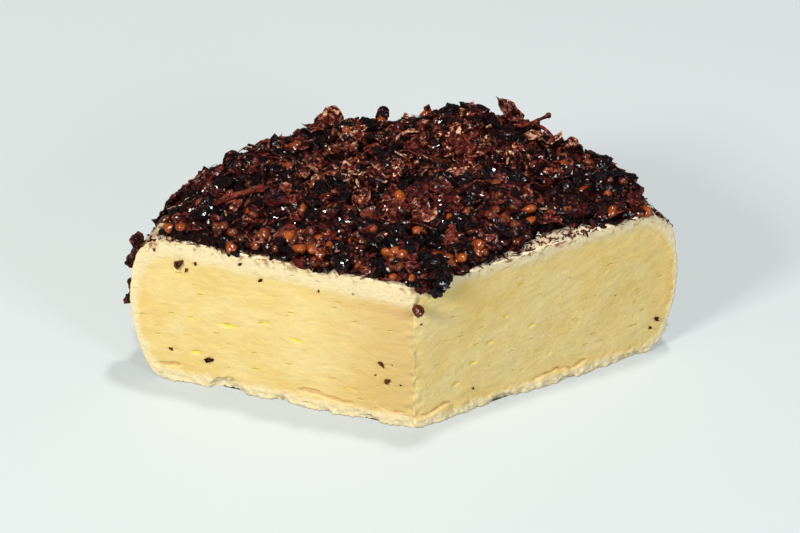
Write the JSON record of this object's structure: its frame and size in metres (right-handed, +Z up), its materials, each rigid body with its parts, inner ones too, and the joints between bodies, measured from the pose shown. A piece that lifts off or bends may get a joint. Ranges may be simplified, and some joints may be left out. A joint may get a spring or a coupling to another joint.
{
  "type": "cut piece of tomme cheese coated with grape marc",
  "caption": "Broad cut piece of a low cheese wheel: pale yellow paste with small eyes, cream rind, and a coat of pressed grape skins, pips and stalks on its top and rounded side.",
  "frame": {"origin": "middle of the part's box, on the flat base it rests on", "axes": "+Z up along the wheel's axis; +Y from the tip, where the two cuts meet, towards the rounded side; +X to the right seen from the cuts"},
  "size_m": [0.187, 0.107, 0.0733],
  "materials": {
    "cheese": "soft, slightly waxy pale yellow paste with a cream rind",
    "marc": "moist, dark purple-brown pressed grape marc with glossy spots",
    "skin": "moist, wrinkled dark grape skin",
    "stalk": "dull red-brown bunch stalk",
    "pip": "moist red-brown grape pip"
  },
  "bodies": {
    "root": {"cheese": "cheese", "marc_coat": "marc", "tip_skin": "skin", "right_skin": "skin", "back_skin": "skin", "left_skin_upper": "skin", "left_skin_lower": "skin", "left_stalk": "stalk", "back_twig": "stalk", "tip_pip": "pip"}
  },
  "joints": []
}
